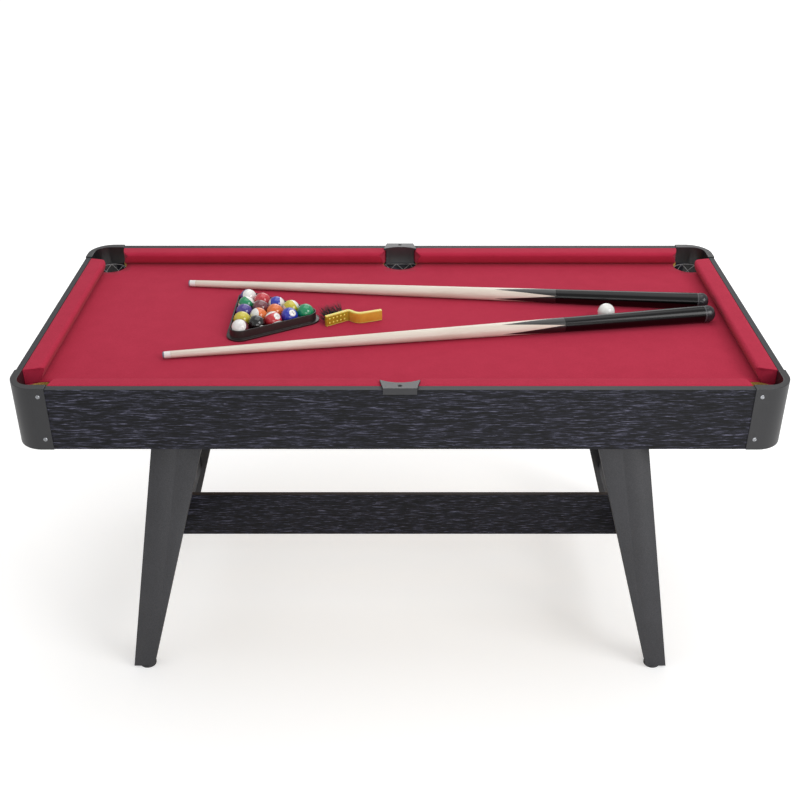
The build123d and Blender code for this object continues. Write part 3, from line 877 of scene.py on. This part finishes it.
def add_number(number, ball, body):
    """Print a ball's number on its white spot."""
    text = bpy.data.curves.new(f"digits_{number}", "FONT")
    text.body = str(number)
    text.size = 0.0078 if number < 10 else 0.0068
    text.align_x = "CENTER"
    text.align_y = "CENTER"
    source = bpy.data.objects.new(f"digits_{number}", text)
    scene.collection.objects.link(source)
    bpy.context.view_layer.update()
    flat = bpy.data.meshes.new_from_object(source)
    bpy.data.objects.remove(source)
    bm = bmesh.new()
    bm.from_mesh(flat)
    bmesh.ops.triangulate(bm, faces=bm.faces)
    bmesh.ops.subdivide_edges(bm, edges=bm.edges, cuts=2, use_grid_fill=True)
    surface = BALL_RADIUS + 0.00006
    for vertex in bm.verts:
        across, up = vertex.co.x, vertex.co.y
        out = math.sqrt(surface**2 - across**2 - up**2)
        vertex.co = Vector((out, across, up))
    digits = add_object(f"ball_{number}_digits", bm, INK)
    digits.matrix_world = ball.matrix_world
    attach(digits, body)


def make_balls():
    """The cue ball, and the rack of fifteen from its base row to its apex."""
    low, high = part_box("cue_ball")
    spin = Matrix.Identity(4)
    centre = (low + high) / 2
    cue_ball = add_ball("cue_ball_polished", plain_ball_material(), centre, "cue_ball", spin)
    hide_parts("cue_ball")

    colours = {
        1: srgb(204, 190, 60),
        2: srgb(46, 56, 170),
        3: srgb(196, 52, 62),
        4: srgb(72, 56, 138),
        5: srgb(222, 112, 52),
        6: srgb(28, 140, 92),
        7: srgb(112, 58, 66),
        8: srgb(14, 14, 15),
    }
    away = (-0.2, 0.8, -0.5)
    below = (0.1, -0.7, -0.7)
    columns = [
        [
            (15, below, (-0.05, -0.86, 0.5)),
            (1, away, (0, 0, 1)),
            (4, away, (0, 0, 1)),
            (14, away, (0.6, -0.2, 0.75)),
            (12, below, (0.35, -0.6, 0.7)),
        ],
        [
            (8, (0.62, -0.75, -0.25), (0, 0, 1)),
            (13, below, (-0.75, -0.45, 0.5)),
            (7, away, (0, 0, 1)),
            (3, away, (0, 0, 1)),
        ],
        [
            (11, (0.62, -0.45, 0.78), (-0.35, 0.5, 0.65)),
            (5, away, (0, 0, 1)),
            (10, (0.1, 0.5, -0.85), (1, 0.1, 0)),
        ],
        [(2, (0.5, -0.6, 0.75), (-0.2, 0.2, 0.9)), (9, away, (-0.8, -0.45, -0.4))],
        [(6, away, (0, 0, 1))],
    ]
    low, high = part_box("object_balls")
    centre_y = (low.y + high.y) / 2
    pitch = (high.y - low.y - 2 * BALL_RADIUS) / 4
    column_pitch = pitch * math.cos(math.radians(30))
    height = low.z + BALL_RADIUS
    replaced = False
    for column, balls in enumerate(columns):
        for place, (number, number_way, pole_way) in enumerate(balls):
            x = low.x + BALL_RADIUS + column * column_pitch
            y = centre_y + (place - (len(balls) - 1) / 2) * pitch
            colour = colours[number if number < 9 else number - 8]
            material = ball_material(number, colour, number > 8)
            spin = ball_spin(number_way, pole_way)
            centre = Vector((x, y, height))
            ball = add_ball(f"ball_{number}", material, centre, "racked_balls", spin)
            add_number(number, ball, "racked_balls")
            if not replaced:
                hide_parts("object_balls")
                replaced = True


# ---------------------------------------------------------------- cues
CUE_LENGTH = 1.208
FERRULE_END = 0.0175
SPLICE_START = 0.723
BUTT_START = 0.864
BUMPER_START = 1.186
BUMPER_ROUNDING = 0.0155
RING_LENGTH = 0.004
TIP_LENGTH = 0.004
CUE_PROFILE = ((0.0, 0.0073), (0.5, 0.0127), (CUE_LENGTH, 0.0189))


def cue_radius(distance):
    """Return a cue's radius at a distance from its tip."""
    for (start, start_radius), (end, end_radius) in zip(CUE_PROFILE, CUE_PROFILE[1:]):
        if distance <= end + 0.000001:
            return start_radius + (distance - start) / (end - start) * (end_radius - start_radius)
    return CUE_PROFILE[-1][1]


def cue_stretch(start, end, count):
    """Return the outline of a stretch of cue."""
    places = [start + (end - start) * index / count for index in range(count + 1)]
    return [(place, cue_radius(place)) for place in places]


def make_cue(body, shaft_material):
    """Turn one cue in its own frame, then lay it where the CAD model has it."""
    tip_low, tip_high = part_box(f"{body}_tip")
    end_low, end_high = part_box(f"{body}_bumper")
    tip_middle = (tip_low + tip_high) / 2
    along = ((end_low + end_high) / 2 - tip_middle).normalized()
    across = Vector((0, 0, 1)).cross(along).normalized()
    over = along.cross(across)
    frame_matrix = Matrix((along, across, over)).transposed().to_4x4()
    origin = tip_middle - along * (FERRULE_END / 2)
    place = Matrix.Translation(origin) @ frame_matrix

    tip_radius = cue_radius(TIP_LENGTH)
    dome = [
        (0.0003 + TIP_LENGTH * 0.5 * (1 - math.sin(t)), tip_radius * math.cos(t) * 0.98)
        for t in (math.radians(88 - 88 * index / 8) for index in range(9))
    ]
    ferrule = [(TIP_LENGTH, tip_radius), (FERRULE_END - 0.0002, cue_radius(FERRULE_END))]
    bm = bmesh.new()
    add_lathe(bm, dome + [(TIP_LENGTH, tip_radius * 0.99)], material_index=0)
    add_lathe(bm, ferrule, material_index=1)
    tip = add_object(f"{body}_ferrule", bm, LEATHER, WHITE_PLASTIC)

    bm = bmesh.new()
    add_lathe(bm, cue_stretch(FERRULE_END, BUTT_START, 40))
    shaft = add_object(f"{body}_wood", bm, shaft_material)

    bm = bmesh.new()
    add_lathe(bm, cue_stretch(BUTT_START, BUMPER_START - RING_LENGTH, 20), material_index=0)
    groove = cue_radius(BUMPER_START) - 0.0006
    add_lathe(bm, [(BUMPER_START - RING_LENGTH, groove), (BUMPER_START, groove)], material_index=1)
    butt = add_object(f"{body}_lacquered", bm, BLACK_LACQUER, BUTT_RING)

    end_radius = cue_radius(CUE_LENGTH)
    outline = [(BUMPER_START, end_radius * 0.99), (CUE_LENGTH - BUMPER_ROUNDING, end_radius)]
    for index in range(1, 9):
        turn = math.radians(90 * index / 8)
        distance = CUE_LENGTH - BUMPER_ROUNDING + BUMPER_ROUNDING * math.sin(turn)
        outline.append((distance, end_radius - BUMPER_ROUNDING + BUMPER_ROUNDING * math.cos(turn)))
    bm = bmesh.new()
    add_lathe(bm, outline)
    bumper = add_object(f"{body}_rubber", bm, RUBBER)

    for piece, node, slot in (
        (tip, "tip", "white_plastic"),
        (shaft, "shaft", "maple"),
        (butt, "butt", "black_lacquer"),
        (bumper, "bumper", "grey_rubber"),
    ):
        piece.matrix_world = place
        bevel(piece, 0.0003, 2, 40)
        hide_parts(f"{body}_{node}")
        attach(piece, body)


# ---------------------------------------------------------------- triangle and brush
BRUSH_START = Vector((-0.164, -0.023, 0))
BRUSH_BEND = Vector((-0.114, 0.011, 0))
BRUSH_HALF_THICKNESS = 0.004


def make_brush():
    """The bent handle, its tuft holes and the splayed bristles behind its head."""
    low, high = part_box("brush_handle")
    handle = refined("brush_handle", 0.0012, AMBER, "brush", 3)
    along = (BRUSH_BEND - BRUSH_START).normalized()
    outward = Vector((-along.y, along.x, 0))
    draws = random.Random(7)
    plugs = bmesh.new()
    hairs = bmesh.new()
    for row in (0.3, 0.7):
        height = low.z + (high.z - low.z) * row
        for column in range(5):
            root = BRUSH_START + along * (0.0085 + 0.0095 * column)
            root.z = height
            front = root - outward * (BRUSH_HALF_THICKNESS - 0.0004)
            turn = (-outward).to_track_quat("Z", "Y").to_matrix().to_4x4()
            plug = Matrix.Translation(front) @ turn
            bmesh.ops.create_cone(
                plugs, cap_ends=True, segments=20, radius1=0.0024, radius2=0.0019,
                depth=0.0014, matrix=plug,
            )
            for _ in range(30):
                lean = along * draws.uniform(-0.42, 0.42) + Vector((0, 0, draws.uniform(-0.1, 0.6)))
                way = (outward + lean).normalized()
                start = root + outward * BRUSH_HALF_THICKNESS
                start += along * draws.uniform(-0.0015, 0.0015)
                start.z += draws.uniform(-0.0015, 0.0015)
                length = draws.uniform(0.028, 0.038)
                curl = Vector((0, 0, 0.0012)) + along * draws.uniform(-0.0015, 0.0015)
                path = [start + way * length * t + curl * t * t for t in (0, 0.35, 0.7, 1)]
                add_tube(hairs, path, (0.00032, 0.0003, 0.00026, 0.0001), sides=4)
    tufts = add_object("brush_tuft_plugs", plugs, TUFT_YELLOW)
    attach(tufts, "brush")
    bristles = add_object("brush_hairs", hairs, BRISTLE)
    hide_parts("brush_bristles")
    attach(bristles, "brush")


# ---------------------------------------------------------------- stage
FLOOR_SIZE = 30
WORLD_STRENGTH = 0.55


def make_stage():
    """A pale floor, its glow dimmed near the table as painted shade, soft lights that are stronger
    from the right, and the camera.
    """
    bm = bmesh.new()
    bmesh.ops.create_grid(bm, x_segments=1, y_segments=1, size=FLOOR_SIZE)
    material, tree, shader = new_material("floor", 0.9, Specular_IOR_Level=0.1)
    set_colour(tree, shader, (0.8, 0.8, 0.8))
    seen = add_node(tree, "ShaderNodeLightPath").outputs["Is Camera Ray"]
    shader.inputs["Emission Color"].default_value = (1, 1, 1, 1)
    # The camera sees the floor glow weakest within 0.6 m of the table's centre, rising out to 2.4 m:
    # painted shade round the table.
    reach = add_node(
        tree, "ShaderNodeVectorMath", {0: coordinates(tree)}, operation="LENGTH"
    ).outputs["Value"]
    glow_with_painted_shade = add_node(
        tree,
        "ShaderNodeMapRange",
        {"Value": reach, "From Min": 0.6, "From Max": 2.4, "To Min": 0.4, "To Max": 0.62},
        interpolation_type="SMOOTHSTEP",
    ).outputs["Result"]
    tree.links.new(math_node(tree, "MULTIPLY", seen, glow_with_painted_shade), shader.inputs["Emission Strength"])
    floor = add_object("floor", bm, material)

    world = bpy.data.worlds.new("studio")
    world.use_nodes = True
    background = world.node_tree.nodes["Background"]
    background.inputs["Color"].default_value = (1, 1, 1, 1)
    in_view = add_node(world.node_tree, "ShaderNodeLightPath").outputs["Is Camera Ray"]
    strength = math_node(world.node_tree, "MULTIPLY_ADD", in_view, 1 - WORLD_STRENGTH, WORLD_STRENGTH)
    world.node_tree.links.new(strength, background.inputs["Strength"])
    scene.world = world

    for name, place, size, energy in (
        ("key", (2.6, -2.0, 3.0), 1.8, 48),
        ("overhead", (0.2, 0.6, 3.4), 2.6, 26),
        ("front", (0.9, -4.2, 1.3), 2.6, 44),
        ("back", (0.4, 3.6, 2.6), 2.4, 26),
        ("fill", (-2.8, -1.6, 2.2), 2.0, 4),
    ):
        light = bpy.data.lights.new(name, "AREA")
        light.size = size
        light.energy = energy
        lamp = bpy.data.objects.new(name, light)
        lamp.location = place
        aim = Vector((0, 0, 0.7)) - Vector(place)
        lamp.rotation_euler = aim.to_track_quat("-Z", "Y").to_euler()
        scene.collection.objects.link(lamp)

    camera = bpy.data.cameras.new("camera")
    camera.lens = 50
    camera.sensor_width = 36
    viewer = bpy.data.objects.new("camera", camera)
    viewer.location = (0, -2.2314, 1.8062)
    viewer.rotation_euler = (math.radians(60), 0, 0)
    scene.collection.objects.link(viewer)
    scene.camera = viewer
    scene.view_settings.view_transform = "Standard"


make_stage()
paint_cabinet()
make_screws()
make_bed_cloth()
make_rails()
make_nets()
make_balls()
shaft_maple = maple(SPLICE_START, BUTT_START - SPLICE_START)
for cue in ("cue_1", "cue_2"):
    make_cue(cue, shaft_maple)
rack = refined("triangle_rack", 0.0006, RACK_PLASTIC, "triangle", 3)
make_brush()
